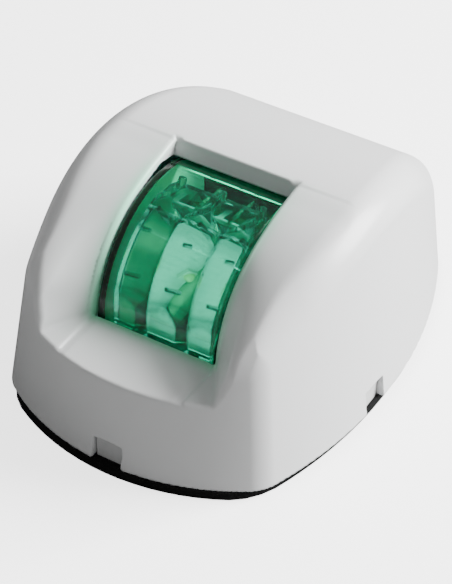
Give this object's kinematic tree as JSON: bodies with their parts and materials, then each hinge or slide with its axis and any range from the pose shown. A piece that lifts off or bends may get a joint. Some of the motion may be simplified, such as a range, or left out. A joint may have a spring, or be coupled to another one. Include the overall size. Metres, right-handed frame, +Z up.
{
  "type": "navigation light",
  "caption": "Deck-mounted boat sidelight: loaf-shaped clip-on cover with a splayed window, curved green lens and sealed LED lamp on a base plate.",
  "frame": {"origin": "centre of the underside's bounding box, on the surface that the light stands on", "axes": "+X across the light, +Y from the window towards the back, +Z up out of the deck"},
  "size_m": [0.0774, 0.1031, 0.048],
  "materials": {
    "cover_white": "gloss moulded ABS",
    "base_white": "satin moulded ABS",
    "gasket_black": "closed-cell foam rubber",
    "seal_grey": "silicone rubber",
    "tray_white": "white moulded ABS",
    "lens_green": "clear green polycarbonate",
    "optic_clear": "clear acrylic",
    "steel": "stainless steel",
    "aluminium": "extruded",
    "brass": "nickel-flashed brass",
    "board_white": "white solder mask",
    "board_green": "green solder mask",
    "led_white": "white ceramic",
    "phosphor": "silicone dome",
    "pad_blue": "silicone thermal pad",
    "part_black": "moulded epoxy",
    "ferrite": "shielded ferrite",
    "can_aluminium": "drawn can",
    "wire_tinned": "tinned copper",
    "wire_red": "PVC insulation",
    "wire_black": "PVC insulation",
    "terminal_body": "natural nylon"
  },
  "bodies": {
    "base": {"base_plate": "base_white", "base_gasket": "gasket_black", "cable_grommet": "seal_grey", "lamp_tray": "tray_white", "lens": "lens_green", "lens_seal": "seal_grey", "lamp_screws": "steel", "barrel_optic": "optic_clear", "led_board": "board_white", "led_packages": "led_white", "led_domes": "phosphor", "thermal_pad": "pad_blue", "heat_sink": "aluminium", "board_screws": "steel", "sink_screws": "steel", "driver_board": "board_green", "driver_chip": "part_black", "inductor": "ferrite", "capacitor": "can_aluminium", "protection_diode": "part_black", "board_links": "wire_tinned", "potting_plug": "seal_grey", "red_lead": "wire_red", "black_lead": "wire_black", "terminal_block": "terminal_body", "terminal_sleeves": "brass", "terminal_screws": "steel", "block_screw": "steel"},
    "cover": {"cover": "cover_white"}
  },
  "joints": [
    {"name": "cover_lift", "type": "slide", "parent": "base", "child": "cover", "axis": [0, 0, 1], "range_m": [0, 0.05]}
  ]
}
